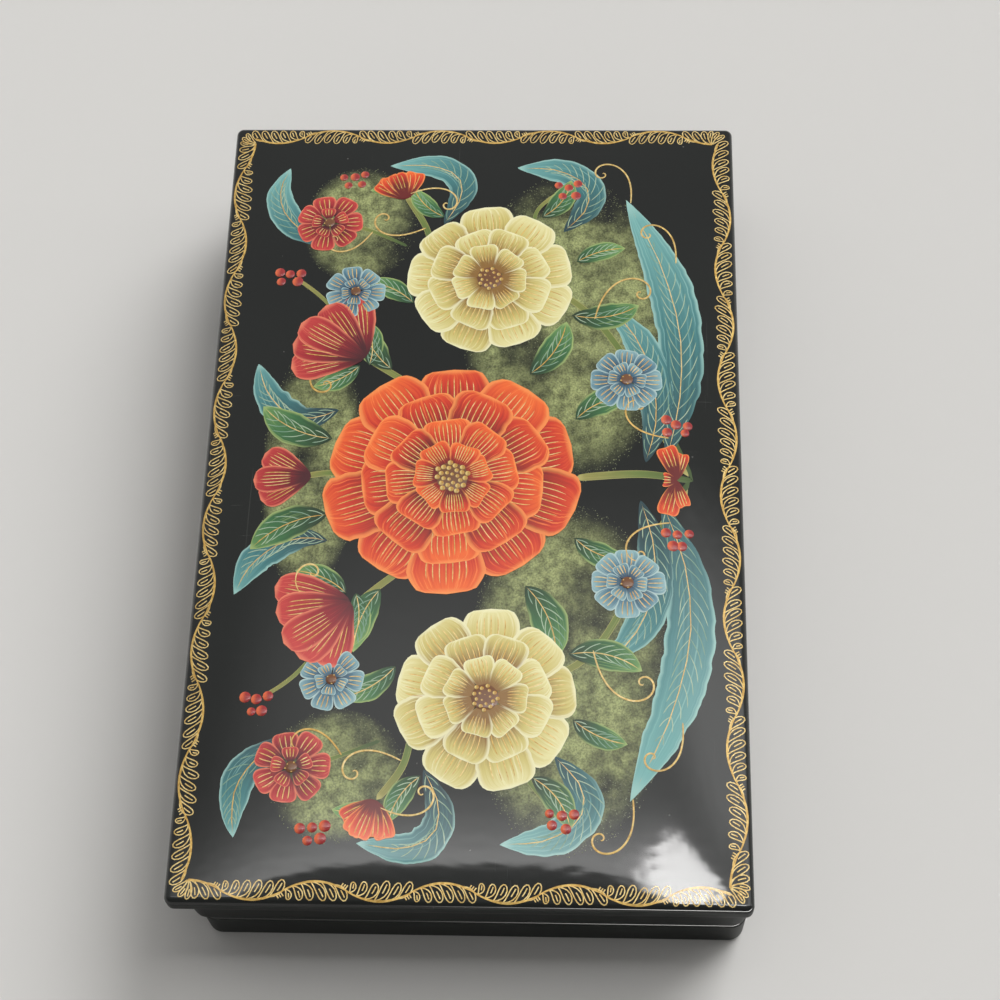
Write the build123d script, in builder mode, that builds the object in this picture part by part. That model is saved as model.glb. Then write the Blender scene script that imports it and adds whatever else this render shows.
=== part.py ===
"""Hinged lacquer box of pressed and wound papier-mache, in millimetres.

+X runs along the long sides, -Y is the front and +Z is up. The origin is on the
table, below the middle of the lid. The lid is closed.
"""

import os
from math import radians, tan

from build123d import *

# Lid panel, a pressed board with a pillow crown
LID_LENGTH = 184.0
LID_WIDTH = 115.0
LID_EDGE = 4.4
LID_CROWN = 2.6
LID_CORNER = 1.6
LID_TOP_ROUND = 1.3
LID_UNDER_ROUND = 0.6
CROWN_POWER = 4
CROWN_POINTS = 33

# Lid rim and body wall, two wound rings of one thickness
RIM_HEIGHT = 11.0
WALL_HEIGHT = 11.5
WALL_THICKNESS = 5.0
WALL_CORNER = 3.2
HOLLOW_CORNER = 1.2
END_OVERHANG = 1.2
FRONT_OVERHANG = 0.3
BACK_OVERHANG = 3.2
BODY_SETBACK = 1.5
PARTING_GAP = 0.2
PARTING_ROUND = 1.0
FOOT_ROUND = 1.0

# Bottom board and the lip that locates the lid
BOTTOM_THICKNESS = 3.0
LIP_THICKNESS = 1.6
LIP_STAND = 3.0
LIP_CLEARANCE = 0.3
LIP_ROUND = 0.4

# Hinge of rolled strips on one pin
STRIP_LENGTH = 12.0
STRIP_THICKNESS = 0.5
STRIP_DEPTH = 7.0
STRIP_GAP = 0.3
KERF_CLEARANCE = 0.05
KNUCKLE_RADIUS = 1.6
KNUCKLE_CLEARANCE = 0.3
PIN_RADIUS = 0.7
PIN_CLEARANCE = 0.05
PIN_CHAMFER = 0.2
PIN_END_CLEARANCE = 0.5
AXIS_MARGIN = 0.2
OPEN_ANGLE = 105.0
STOP_MARGIN = 1.0

STRIPS = [
    "body_strip_left",
    "lid_strip_left",
    "body_strip_middle",
    "lid_strip_right",
    "body_strip_right",
]

# Places worked out from those sizes
rim_z = WALL_HEIGHT + PARTING_GAP
panel_z = rim_z + RIM_HEIGHT
wall_length = LID_LENGTH - 2 * END_OVERHANG
rim_width = LID_WIDTH - FRONT_OVERHANG - BACK_OVERHANG
rim_y = (FRONT_OVERHANG - BACK_OVERHANG) / 2
wall_width = rim_width - BODY_SETBACK
wall_y = rim_y - BODY_SETBACK / 2
wall_back = wall_y + wall_width / 2
hollow_length = wall_length - 2 * WALL_THICKNESS
hollow_width = wall_width - 2 * WALL_THICKNESS

# The hinge axis lies just inside the body's rounded back edge, so the bevels there meet as a stop
axis_setback = PARTING_ROUND + AXIS_MARGIN
axis_y = wall_back - axis_setback
axis_z = WALL_HEIGHT + PARTING_GAP / 2
strip_pitch = STRIP_LENGTH + STRIP_GAP
hinge_length = len(STRIPS) * strip_pitch - STRIP_GAP
hinge_start = -hinge_length / 2
bevel_slope = 1 / tan(radians((180 - OPEN_ANGLE - STOP_MARGIN) / 2))


def is_body_strip(name):
    """Tell the strips of the body from those of the lid."""
    return name.startswith("body")


def crown_height(x, y):
    """Height of the lid's top above its edge: flat in the middle, falling off towards each side."""
    along = 1 - abs(2 * x / LID_LENGTH) ** CROWN_POWER
    across = 1 - abs(2 * y / LID_WIDTH) ** CROWN_POWER
    return LID_CROWN * along * across


def crown_face():
    """The lid's top surface, carried a little past the outline of the panel."""
    reach_x = LID_LENGTH / 2 + LID_CORNER
    reach_y = LID_WIDTH / 2 + LID_CORNER
    steps = [2 * i / (CROWN_POINTS - 1) - 1 for i in range(CROWN_POINTS)]
    rows = []
    for u in steps:
        row = []
        for v in steps:
            height = crown_height(u * reach_x, v * reach_y)
            row.append((u * reach_x, v * reach_y, panel_z + LID_EDGE + height))
        rows.append(row)
    return Face.make_surface_from_array_of_points(rows)


def ring_section(width, middle):
    """Plan of a wound ring of the given width, with its middle at that y."""
    with BuildSketch() as section:
        with Locations((0, middle)):
            RectangleRounded(wall_length, width, WALL_CORNER)
            RectangleRounded(hollow_length, width - 2 * WALL_THICKNESS, HOLLOW_CORNER, mode=Mode.SUBTRACT)
    return section.sketch


os.makedirs("parts", exist_ok=True)

# Room for the hinge in both rings: the knuckles' groove, the kerfs and the stop bevels
with BuildPart() as hinge_room:
    with BuildSketch(Plane.YZ.offset(hinge_start - PIN_END_CLEARANCE)):
        with Locations((axis_y, axis_z)):
            Circle(KNUCKLE_RADIUS + KNUCKLE_CLEARANCE)
    extrude(amount=hinge_length + 2 * PIN_END_CLEARANCE)
    for index, name in enumerate(STRIPS):
        side = -1 if is_body_strip(name) else 1
        kerf_depth = STRIP_DEPTH + KERF_CLEARANCE
        with BuildSketch(Plane.YZ.offset(hinge_start + index * strip_pitch - KERF_CLEARANCE)):
            with Locations((axis_y, axis_z + side * kerf_depth / 2)):
                Rectangle(STRIP_THICKNESS + 2 * KERF_CLEARANCE, kerf_depth)
        extrude(amount=STRIP_LENGTH + 2 * KERF_CLEARANCE)
    bevel_reach = axis_setback + BODY_SETBACK + AXIS_MARGIN
    with BuildSketch(Plane.YZ):
        with BuildLine():
            Polyline(
                (axis_y, axis_z),
                (axis_y + bevel_reach, axis_z - bevel_reach * bevel_slope),
                (axis_y + bevel_reach, axis_z + bevel_reach * bevel_slope),
                close=True,
            )
        make_face()
    extrude(amount=LID_LENGTH / 2, both=True)

# Lid panel
with BuildPart() as lid_panel:
    with BuildSketch(Plane.XY.offset(panel_z)):
        RectangleRounded(LID_LENGTH, LID_WIDTH, LID_CORNER)
    extrude(amount=LID_EDGE + 2 * LID_CROWN)
    split(bisect_by=crown_face(), keep=Keep.BOTTOM)
    fillet(lid_panel.faces().sort_by(Axis.Z)[-1].edges(), LID_TOP_ROUND)
    fillet(lid_panel.faces().sort_by(Axis.Z)[0].edges(), LID_UNDER_ROUND)
lid_panel.part.label = "lid_panel"
export_step(lid_panel.part, "parts/lid_panel.step")

# Lid rim
with BuildPart() as lid_rim:
    with BuildSketch(Plane.XY.offset(rim_z)):
        add(ring_section(rim_width, rim_y))
    extrude(amount=RIM_HEIGHT)
    fillet(lid_rim.faces().sort_by(Axis.Z)[0].outer_wire().edges(), PARTING_ROUND)
    add(hinge_room.part, mode=Mode.SUBTRACT)
lid_rim.part.label = "lid_rim"
export_step(lid_rim.part, "parts/lid_rim.step")

# Body wall
with BuildPart() as body_wall:
    with BuildSketch():
        add(ring_section(wall_width, wall_y))
    extrude(amount=WALL_HEIGHT)
    fillet(body_wall.faces().sort_by(Axis.Z)[0].outer_wire().edges(), FOOT_ROUND)
    fillet(body_wall.faces().sort_by(Axis.Z)[-1].outer_wire().edges(), PARTING_ROUND)
    add(hinge_room.part, mode=Mode.SUBTRACT)
body_wall.part.label = "body_wall"
export_step(body_wall.part, "parts/body_wall.step")

# Bottom board
with BuildPart() as bottom_board:
    with BuildSketch():
        with Locations((0, wall_y)):
            RectangleRounded(hollow_length, hollow_width, HOLLOW_CORNER)
    extrude(amount=BOTTOM_THICKNESS)
bottom_board.part.label = "bottom_board"
export_step(bottom_board.part, "parts/bottom_board.step")

# Inner lip, glued to the wall below the parting line and set in a little above it
with BuildPart() as inner_lip:
    with BuildSketch(Plane.XY.offset(BOTTOM_THICKNESS)):
        with Locations((0, wall_y)):
            RectangleRounded(hollow_length, hollow_width, HOLLOW_CORNER)
    extrude(amount=WALL_HEIGHT - BOTTOM_THICKNESS)
    with BuildSketch(Plane.XY.offset(WALL_HEIGHT)):
        with Locations((0, wall_y)):
            RectangleRounded(
                hollow_length - 2 * LIP_CLEARANCE,
                hollow_width - 2 * LIP_CLEARANCE,
                HOLLOW_CORNER,
            )
    extrude(amount=LIP_STAND)
    with BuildSketch(Plane.XY.offset(BOTTOM_THICKNESS)):
        with Locations((0, wall_y)):
            RectangleRounded(
                hollow_length - 2 * LIP_THICKNESS,
                hollow_width - 2 * LIP_THICKNESS,
                HOLLOW_CORNER,
            )
    extrude(amount=WALL_HEIGHT - BOTTOM_THICKNESS + LIP_STAND, mode=Mode.SUBTRACT)
    fillet(inner_lip.faces().sort_by(Axis.Z)[-1].edges(), min(LIP_ROUND, (LIP_THICKNESS - LIP_CLEARANCE) / 3))
inner_lip.part.label = "inner_lip"
export_step(inner_lip.part, "parts/inner_lip.step")

# Hinge strips, each rolled round the pin with its tail let into the body or the lid
for index, name in enumerate(STRIPS):
    side = -1 if is_body_strip(name) else 1
    with BuildPart() as strip:
        with BuildSketch(Plane.YZ.offset(hinge_start + index * strip_pitch)):
            with Locations((axis_y, axis_z)):
                Circle(KNUCKLE_RADIUS)
            with Locations((axis_y, axis_z + side * STRIP_DEPTH / 2)):
                Rectangle(STRIP_THICKNESS, STRIP_DEPTH)
            with Locations((axis_y, axis_z)):
                Circle(PIN_RADIUS + PIN_CLEARANCE, mode=Mode.SUBTRACT)
        extrude(amount=STRIP_LENGTH)
    strip.part.label = name
    export_step(strip.part, f"parts/{name}.step")

# Hinge pin
with BuildPart() as hinge_pin:
    with BuildSketch(Plane.YZ.offset(hinge_start)):
        with Locations((axis_y, axis_z)):
            Circle(PIN_RADIUS)
    extrude(amount=hinge_length)
    chamfer(hinge_pin.edges().filter_by(GeomType.CIRCLE), PIN_CHAMFER)
hinge_pin.part.label = "hinge_pin"
export_step(hinge_pin.part, "parts/hinge_pin.step")
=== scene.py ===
"""A lacquered papier-mache box with a hinged, crowned lid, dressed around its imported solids.

Metres, +X along the long sides, -Y to the front, +Y to the hinge, +Z up. Trees work in millimetres.
"""

import math
import random

import bmesh
import bpy
from mathutils import Matrix, Vector


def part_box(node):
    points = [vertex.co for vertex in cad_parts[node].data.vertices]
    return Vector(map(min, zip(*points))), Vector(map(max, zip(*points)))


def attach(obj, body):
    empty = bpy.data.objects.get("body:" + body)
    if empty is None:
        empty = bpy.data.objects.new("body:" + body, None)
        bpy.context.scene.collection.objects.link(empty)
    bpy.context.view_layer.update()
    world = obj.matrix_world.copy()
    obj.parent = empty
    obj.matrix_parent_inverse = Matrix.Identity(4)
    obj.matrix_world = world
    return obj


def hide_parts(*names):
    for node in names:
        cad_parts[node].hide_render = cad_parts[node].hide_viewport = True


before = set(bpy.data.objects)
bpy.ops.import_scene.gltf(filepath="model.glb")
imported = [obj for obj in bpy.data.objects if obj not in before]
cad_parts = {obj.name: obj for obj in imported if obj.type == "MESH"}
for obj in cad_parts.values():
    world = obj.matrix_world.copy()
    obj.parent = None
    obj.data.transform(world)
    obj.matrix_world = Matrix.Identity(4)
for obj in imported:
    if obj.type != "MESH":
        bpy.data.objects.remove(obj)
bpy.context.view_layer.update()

# Body wall
# A ring wound from glued card, baked hard, and lacquered black in many rubbed coats.
# It is satin, with only its upper edge polished, and has faint waves, hairline scratches and dust.

MM = 0.001
WALL_POLISH = (0.0107, 0.0112)
MIST_ABOVE = 0.025


class Socket:
    """One socket of a node tree. Sums written on sockets add Math nodes to that tree."""

    def __init__(self, tree, link=None):
        self.tree = tree
        self.link = link

    def node(self, kind, settings=None, inputs=None, output=0):
        """Add a node, with its settings first and then its sockets, and give back one output."""
        made = self.tree.nodes.new(kind)
        for name, value in (settings or {}).items():
            if name == "stops":
                ramp = made.color_ramp
                while len(ramp.elements) < len(value):
                    ramp.elements.new(1.0)
                for stop, (place, colour) in zip(ramp.elements, value):
                    stop.position = place
                    stop.color = colour
            else:
                setattr(made, name, value)
        for name, value in (inputs or {}).items():
            target = self.find(made.inputs, name)
            for part in value if isinstance(value, list) else [value]:
                if isinstance(part, Socket):
                    self.tree.links.new(part.link, target)
                else:
                    target.default_value = part
        return Socket(self.tree, self.find(made.outputs, output)) if made.outputs else None

    @staticmethod
    def find(sockets, name):
        """The socket in use that has this name or number."""
        used = [socket for socket in sockets if socket.enabled]
        if isinstance(name, int):
            return used[name]
        return next(socket for socket in used if socket.name == name)

    def out(self, name):
        """Another output of the same node."""
        return Socket(self.tree, self.find(self.link.node.outputs, name))

    def math(self, operation, *others):
        """Work out an operation on this value and any others, in that order."""
        return self.node("ShaderNodeMath", {"operation": operation}, dict(enumerate((self,) + others)))

    def vector(self, x=0.0, y=0.0, z=0.0):
        """A vector made of three values."""
        return self.node("ShaderNodeCombineXYZ", None, {"X": x, "Y": y, "Z": z})

    def axes(self):
        """The three values of this vector."""
        first = self.node("ShaderNodeSeparateXYZ", None, {"Vector": self}, "X")
        return first, first.out("Y"), first.out("Z")

    def __add__(self, other):
        return self.math("ADD", other)

    def __sub__(self, other):
        return self.math("SUBTRACT", other)

    def __rsub__(self, other):
        return self.node("ShaderNodeMath", {"operation": "SUBTRACT"}, {0: other, 1: self})

    def __mul__(self, other):
        return self.math("MULTIPLY", other)

    def __truediv__(self, other):
        return self.math("DIVIDE", other)

    def __pow__(self, other):
        return self.math("POWER", other)

    def __abs__(self):
        return self.math("ABSOLUTE")

    def __lt__(self, other):
        return self.math("LESS_THAN", other)

    def __gt__(self, other):
        return self.math("GREATER_THAN", other)

    __radd__ = __add__
    __rmul__ = __mul__

    def ramp(self, low, high):
        """Rise smoothly from 0 to 1 as this value goes from low to high."""
        settings = {"interpolation_type": "SMOOTHSTEP"}
        return self.node("ShaderNodeMapRange", settings, {"Value": self, "From Min": low, "From Max": high})

    def blend(self, first, second):
        """Mix two colours by this value."""
        inputs = {"Factor": self, "A": first, "B": second}
        return self.node("ShaderNodeMix", {"data_type": "RGBA"}, inputs, "Result")


def new_finish(name):
    """Start an empty material and give back it and the start of its nodes."""
    material = bpy.data.materials.new(name)
    material.use_nodes = True
    material.node_tree.nodes.clear()
    return material, Socket(material.node_tree)


def end_finish(start, inputs):
    """Close a material with one shader."""
    shader = start.node("ShaderNodeBsdfPrincipled", None, inputs)
    start.node("ShaderNodeOutputMaterial", None, {"Surface": shader})


def on_object(start):
    """Places on a piece, so that a pattern stays where it is."""
    return start.node("ShaderNodeTexCoord", None, None, "Object")


def noise(start, vector, scale, detail):
    """Soft random values on a vector."""
    return start.node("ShaderNodeTexNoise", None, {"Vector": vector, "Scale": scale, "Detail": detail})


def stretched(start, vector, turn, scale):
    """A vector turned about the vertical and stretched, for scratches and brush marks."""
    return start.node("ShaderNodeMapping", None, {"Vector": vector, "Rotation": (0, 0, turn), "Scale": scale})


def lacquer(name, polish, hollow=None, mist=()):
    """Black lacquer, satin below the polish heights and polished above them.

    A hollow, as (x, low y, high y, low z, high z), is red. Mist is painted on top, in ovals.
    """
    material, start = new_finish(name)
    place = on_object(start)
    along, across, up = place.axes()
    smudge = noise(start, place, 28.0, 3.0)
    hairs = stretched(start, place, 0.5, (30.0, 1600.0, 900.0))
    crossing = stretched(start, place, -0.9, (1400.0, 24.0, 900.0))
    hair = noise(start, hairs, 1.0, 1.0).ramp(0.69, 0.74) + noise(start, crossing, 1.0, 1.0).ramp(0.7, 0.75)
    cell = start.node("ShaderNodeTexVoronoi", None, {"Vector": place, "Scale": 520.0}, "Distance")
    pick = start.node("ShaderNodeSeparateColor", None, {"Color": cell.out("Color")}, "Red")
    dust = (cell < 0.10) * (pick > 0.985)
    worn = smudge.ramp(0.5, 0.75) * hair * 0.5
    black = smudge.blend((0.0055, 0.0065, 0.006, 1), (0.010, 0.012, 0.0105, 1))
    black = worn.blend(black, (0.05, 0.052, 0.048, 1))
    black = (dust * 0.5).blend(black, (0.16, 0.16, 0.15, 1))
    if mist:
        veil = 0.0
        for middle_x, middle_y, reach_x, reach_y in mist:
            off_x = along / (reach_x * MM) - middle_x / reach_x
            off_y = across / (reach_y * MM) - middle_y / reach_y
            veil = (1 - off_x * off_x - off_y * off_y).math("MAXIMUM", veil)
        cloud = noise(start, place, 80.0, 4.0).ramp(0.26, 0.56)
        clump = noise(start, place, 460.0, 3.0).ramp(0.30, 0.66)
        grain = noise(start, place, 2400.0, 2.0).ramp(0.30, 0.66)
        stipple = veil.ramp(0.0, 0.55) * cloud * (0.50 + 0.25 * clump + 0.25 * grain) * (up > MIST_ABOVE)
        olive = (0.6 * clump + 0.4 * grain).blend((0.160, 0.178, 0.072, 1), (0.400, 0.445, 0.185, 1))
        black = stipple.blend(black, olive)
    if hollow:
        x_side, y_low, y_high, z_low, z_high = hollow
        inside = (abs(along) < x_side) * (across > y_low) * (across < y_high) * (up > z_low) * (up < z_high)
        red = smudge.blend((0.30, 0.014, 0.010, 1), (0.44, 0.028, 0.016, 1))
        black = inside.blend(black, red)
    wave = noise(start, place, 42.0, 1.0) + noise(start, place, 900.0, 2.0) * 0.16
    normal = start.node("ShaderNodeBump", None, {"Strength": 0.05, "Distance": 0.0006, "Height": wave})
    polished = up.ramp(*polish)
    end_finish(start, {
        "Base Color": black,
        "Roughness": 0.32 - polished * 0.22 + smudge * 0.05 + worn * 0.12 + dust * 0.3,
        "Specular IOR Level": 0.05,
        "Coat Weight": polished,
        "Coat Roughness": 0.05,
        "Normal": normal,
    })
    return material


def coat(node_name, material):
    """Give a piece of the frame its finish."""
    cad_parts[node_name].material_slots[0].material = material


coat("body_wall", lacquer("black_lacquer_wall", WALL_POLISH))

# Bottom board and inner lip
# A pressed board let into the foot of the wall, and a thin card ring glued inside the wall.
# Both are lacquered red, the usual colour inside such a box; the board's underside is black.

BOARD_BLACK_BELOW = 0.001


def red_lacquer(name, black_below=None):
    """Red lacquer with soft brush marks. Below the given height the piece is black."""
    material, start = new_finish(name)
    place = on_object(start)
    cloud = noise(start, place, 22.0, 4.0)
    brush = noise(start, stretched(start, place, 0.06, (18.0, 900.0, 500.0)), 1.0, 3.0)
    red = cloud.blend((0.27, 0.012, 0.009, 1), (0.43, 0.028, 0.015, 1))
    red = (brush.ramp(0.55, 0.8) * 0.35).blend(red, (0.56, 0.06, 0.03, 1))
    if black_below is not None:
        _, _, up = place.axes()
        red = (up < black_below).blend(red, (0.009, 0.010, 0.009, 1))
    normal = start.node("ShaderNodeBump", None, {"Strength": 0.12, "Distance": 0.0002, "Height": brush})
    end_finish(start, {
        "Base Color": red,
        "Roughness": 0.16 + cloud * 0.12,
        "Coat Weight": 0.7,
        "Coat Roughness": 0.08,
        "Normal": normal,
    })
    return material


coat("bottom_board", red_lacquer("red_lacquer_board", BOARD_BLACK_BELOW))
coat("inner_lip", red_lacquer("red_lacquer_lip"))

# Hinge strips and pin
# Five strips of thin brass rolled round one brass wire, their tails let into kerfs in the hard card.
# The brass is drawn, so its grain runs along the hinge, and it has dulled to brown in places.

STRIPS = ("body_strip_left", "body_strip_middle", "body_strip_right", "lid_strip_left", "lid_strip_right")


def hinge_brass(name):
    """Drawn brass, satin and slightly tarnished."""
    material, start = new_finish(name)
    place = on_object(start)
    grain = noise(start, stretched(start, place, 0.0, (60.0, 5200.0, 5200.0)), 1.0, 2.0)
    tarnish = noise(start, place, 260.0, 4.0).ramp(0.42, 0.72)
    brass = grain.blend((0.60, 0.42, 0.17, 1), (0.80, 0.61, 0.30, 1))
    brass = (tarnish * 0.6).blend(brass, (0.30, 0.18, 0.07, 1))
    normal = start.node("ShaderNodeBump", None, {"Strength": 0.2, "Distance": 0.00004, "Height": grain})
    end_finish(start, {
        "Base Color": brass,
        "Metallic": 1.0,
        "Roughness": 0.26 + tarnish * 0.22 + grain * 0.08,
        "Normal": normal,
    })
    return material


strip_brass = hinge_brass("hinge_brass_strips")
for strip in STRIPS:
    coat(strip, strip_brass)
coat("hinge_pin", hinge_brass("hinge_brass_pin"))

# Lid rim
# The upper ring, wound as the wall is and glued under the panel.
# It is satin black outside and on its lower edge, and red on its inner faces.

RIM_POLISH = (0.0226, 0.0228)
RIM_WALL = 0.005
BLACK_EDGE = 0.00015
RED_MARGIN = 0.00005

rim_low, rim_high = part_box("lid_rim")
red_inset = RIM_WALL - RED_MARGIN
red_plan = (rim_high.x - red_inset, rim_low.y + red_inset, rim_high.y - red_inset)
rim_hollow = red_plan + (rim_low.z + BLACK_EDGE, rim_high.z + RED_MARGIN)
coat("lid_rim", lacquer("black_lacquer_rim", RIM_POLISH, rim_hollow))

# Lid panel
# A pressed board with a pillow crown, rounded all round its upper edge, lacquered black and red below.
# Its shape follows a rule, so a tree makes it: a block of cells drawn onto the crown and the rounded edge.
# The polish is not quite even, which breaks up the edges of what the lid mirrors.

PANEL_EDGE = 4.4
PANEL_CROWN = 2.6
CROWN_POWER = 4
LID_CORNER = 1.6
LID_TOP_ROUND = 1.3
LID_UNDER_ROUND = 0.6
PANEL_POLISH = (0.0256, 0.0269)
MIST_PATCHES = (
    (38.0, -20.0, 40.0, 23.0),
    (-44.0, -21.0, 38.0, 21.0),
    (3.0, 34.0, 30.0, 11.0),
    (64.0, 27.0, 16.0, 13.0),
    (-66.0, 25.0, 14.0, 14.0),
)

panel_low, panel_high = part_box("lid_panel")
HALF_LENGTH = round(panel_high.x / MM, 2)
HALF_WIDTH = round(panel_high.y / MM, 2)
PANEL_Z = round(panel_low.z / MM, 2)


def new_tree(name, sizes):
    """Start a Geometry Nodes tree that takes a guide, named sizes and a material."""
    tree = bpy.data.node_groups.new(name, "GeometryNodeTree")
    tree.interface.new_socket("Geometry", in_out="INPUT", socket_type="NodeSocketGeometry")
    for size, value in sizes.items():
        kind = "NodeSocketInt" if isinstance(value, int) else "NodeSocketFloat"
        tree.interface.new_socket(size, in_out="INPUT", socket_type=kind).default_value = value
    tree.interface.new_socket("Material", in_out="INPUT", socket_type="NodeSocketMaterial")
    tree.interface.new_socket("Geometry", in_out="OUTPUT", socket_type="NodeSocketGeometry")
    return Socket(tree).node("NodeGroupInput")


def realized(shape):
    """A shape whose copies are made real."""
    return shape.node("GeometryNodeRealizeInstances", None, {"Geometry": shape})


def end_tree(start, shape):
    """Bring a tree's shape to metres, realize it, give it its material and end the tree."""
    shape = shape.node("GeometryNodeTransform", None, {"Geometry": shape, "Scale": (MM, MM, MM)})
    coated = {"Geometry": realized(shape), "Material": start.out("Material")}
    shape = shape.node("GeometryNodeSetMaterial", None, coated)
    shape.node("NodeGroupOutput", None, {"Geometry": shape})


def make_piece(name, start, material, sizes=None, guide=None, sharp=35.0):
    """Run a tree on its guide, keep the result as a plain mesh and give back its object."""
    holder = bpy.data.objects.new(name + "_guide", guide or bpy.data.meshes.new(name + "_guide"))
    bpy.context.collection.objects.link(holder)
    modifier = holder.modifiers.new("tree", "NODES")
    modifier.node_group = start.tree
    for item in start.tree.interface.items_tree:
        if item.in_out == "INPUT" and item.name == "Material":
            modifier[item.identifier] = material
        elif item.in_out == "INPUT" and item.name in (sizes or {}):
            modifier[item.identifier] = sizes[item.name]
    depsgraph = bpy.context.evaluated_depsgraph_get()
    mesh = bpy.data.meshes.new_from_object(holder.evaluated_get(depsgraph), depsgraph=depsgraph)
    bpy.data.objects.remove(holder)
    work = bmesh.new()
    work.from_mesh(mesh)
    bmesh.ops.recalc_face_normals(work, faces=work.faces)
    work.to_mesh(mesh)
    work.free()
    mesh.shade_smooth()
    mesh.set_sharp_from_angle(angle=math.radians(sharp))
    mesh.name = name
    piece = bpy.data.objects.new(name, mesh)
    bpy.context.collection.objects.link(piece)
    return piece


def crown_top(x, y):
    """Height of the lid's top at a place, in millimetres: flat in the middle, falling off to each side."""
    along = 1 - (abs(x) / HALF_LENGTH) ** CROWN_POWER
    across = 1 - (abs(y) / HALF_WIDTH) ** CROWN_POWER
    return PANEL_Z + PANEL_EDGE + PANEL_CROWN * along * across


def place_of(start):
    """The x, y and z of the points that a tree works on."""
    return start.node("GeometryNodeInputPosition").axes()


def set_place(shape, x, y, z):
    """Move a shape's points to new places."""
    return shape.node("GeometryNodeSetPosition", None, {"Geometry": shape, "Position": shape.vector(x, y, z)})


def rounded(inset, radius):
    """How far a rounded edge lies below its face, this far in from its outline."""
    rest = (radius - inset).math("MAXIMUM", 0.0)
    room = radius * radius - rest * rest
    return radius - room.math("MAXIMUM", 0.0).math("SQRT")


panel_sizes = {
    "Cells along": 193,
    "Cells across": 127,
    "Corner radius": LID_CORNER,
    "Top round": LID_TOP_ROUND,
    "Under round": LID_UNDER_ROUND,
    "Peel height": 0.022,
    "Peels per millimetre": 0.55,
}
start = new_tree("crowned_panel", panel_sizes)
block = start.node("GeometryNodeMeshCube", None, {
    "Size": (2.0, 2.0, 2.0),
    "Vertices X": start.out("Cells along"),
    "Vertices Y": start.out("Cells across"),
    "Vertices Z": 4,
})
u, v, w = place_of(start)
corner = start.out("Corner radius")
flat_x = HALF_LENGTH * (u * (math.pi / 2)).math("SINE")
flat_y = HALF_WIDTH * (v * (math.pi / 2)).math("SINE")
straight_x = abs(flat_x).math("MINIMUM", HALF_LENGTH - corner)
straight_y = abs(flat_y).math("MINIMUM", HALF_WIDTH - corner)
past_x = (abs(flat_x) - straight_x) / corner
past_y = (abs(flat_y) - straight_y) / corner
round_x = past_x * (1 - past_y * past_y * 0.5).math("SQRT")
round_y = past_y * (1 - past_x * past_x * 0.5).math("SQRT")
plan_x = u.math("SIGN") * (straight_x + corner * round_x)
plan_y = v.math("SIGN") * (straight_y + corner * round_y)
inset = corner * (1 - (round_x * round_x + round_y * round_y).math("SQRT"))
peel = noise(start, start.vector(plan_x, plan_y), start.out("Peels per millimetre"), 1.0)
peel = (peel - 0.5) * start.out("Peel height")
top_z = crown_top(plan_x, plan_y) - rounded(inset, start.out("Top round")) + peel
under_z = PANEL_Z + rounded(inset, start.out("Under round"))
side_low = PANEL_Z + start.out("Under round")
side_high = PANEL_Z + PANEL_EDGE - start.out("Top round")
side_z = side_low + (side_high - side_low) * (w + 1) * 0.5
is_top = w > 0.99
is_under = w < -0.99
panel_height = is_top * top_z + is_under * under_z + (1 - is_top - is_under) * side_z
end_tree(start, set_place(block, plan_x, plan_y, panel_height))
panel_hollow = red_plan + (panel_low.z - RED_MARGIN, panel_low.z + RED_MARGIN)
panel_lacquer = lacquer("black_lacquer_panel", PANEL_POLISH, panel_hollow, MIST_PATCHES)
lid_panel = make_piece("lid_panel_crowned", start, panel_lacquer)
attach(lid_panel, "lid")
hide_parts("lid_panel")

# Gold border
# A vine on each side of the lid, drawn with ground gold on a fine brush: one waving stem with slanted
# drop-shaped loops that fill each bend in turn, short ticks at the crossings, and a fan at each corner.

BORDER_INNER = 4.7
SHORT_WAVES = 4
LONG_WAVES = 6
LAST_TURN = 0.22
STEM_POINTS = 32
LOOPS_PER_BEND = 6
LOOP_POINTS = 14
FOOT_START = 0.03
FOOT_STEP = 0.10
FOOT_SPREAD = 0.01
TIP_START = 0.10
TIP_STEP = 0.18
TICKS_PER_BEND = 3
TICK_START = 0.305
TICK_STEP = 0.018
FAN_LOOPS = 3
FAN_START = 2.45
FAN_STEP = 0.42
RIDGE_SPREAD = 1.15
BORDER_LIFT = 0.02


def keep(shape, label, value, kind="FLOAT"):
    """Store a value on the points of a shape."""
    inputs = {"Geometry": shape, "Name": label, "Value": value}
    return shape.node("GeometryNodeStoreNamedAttribute", {"data_type": kind, "domain": "POINT"}, inputs)


def carried(start, label):
    """A value that the points of a piece carry, for its material."""
    return start.node("ShaderNodeAttribute", {"attribute_name": label}, None, "Fac")


def join(shapes):
    """Several shapes as one."""
    return shapes[0].node("GeometryNodeJoinGeometry", None, {"Geometry": shapes})


def copies(points, shape, scale, turn=None):
    """Real copies of a shape, one on each point."""
    inputs = {"Points": points, "Instance": shape, "Scale": scale}
    if turn:
        inputs["Rotation"] = turn
    return realized(points.node("GeometryNodeInstanceOnPoints", None, inputs))


def straight(start, begin, end, count):
    """A straight line along X, of evenly spaced points."""
    ends = {"Start": (begin, 0.0, 0.0), "End": (end, 0.0, 0.0)}
    line = start.node("GeometryNodeCurvePrimitiveLine", None, ends)
    return line.node("GeometryNodeResampleCurve", None, {"Curve": line, "Count": count})


def chance(start, low, high, seed):
    """A random value for each point of a shape."""
    span = {"Min": low, "Max": high, "Seed": seed}
    return start.node("FunctionNodeRandomValue", {"data_type": "FLOAT"}, span, "Value")


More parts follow.
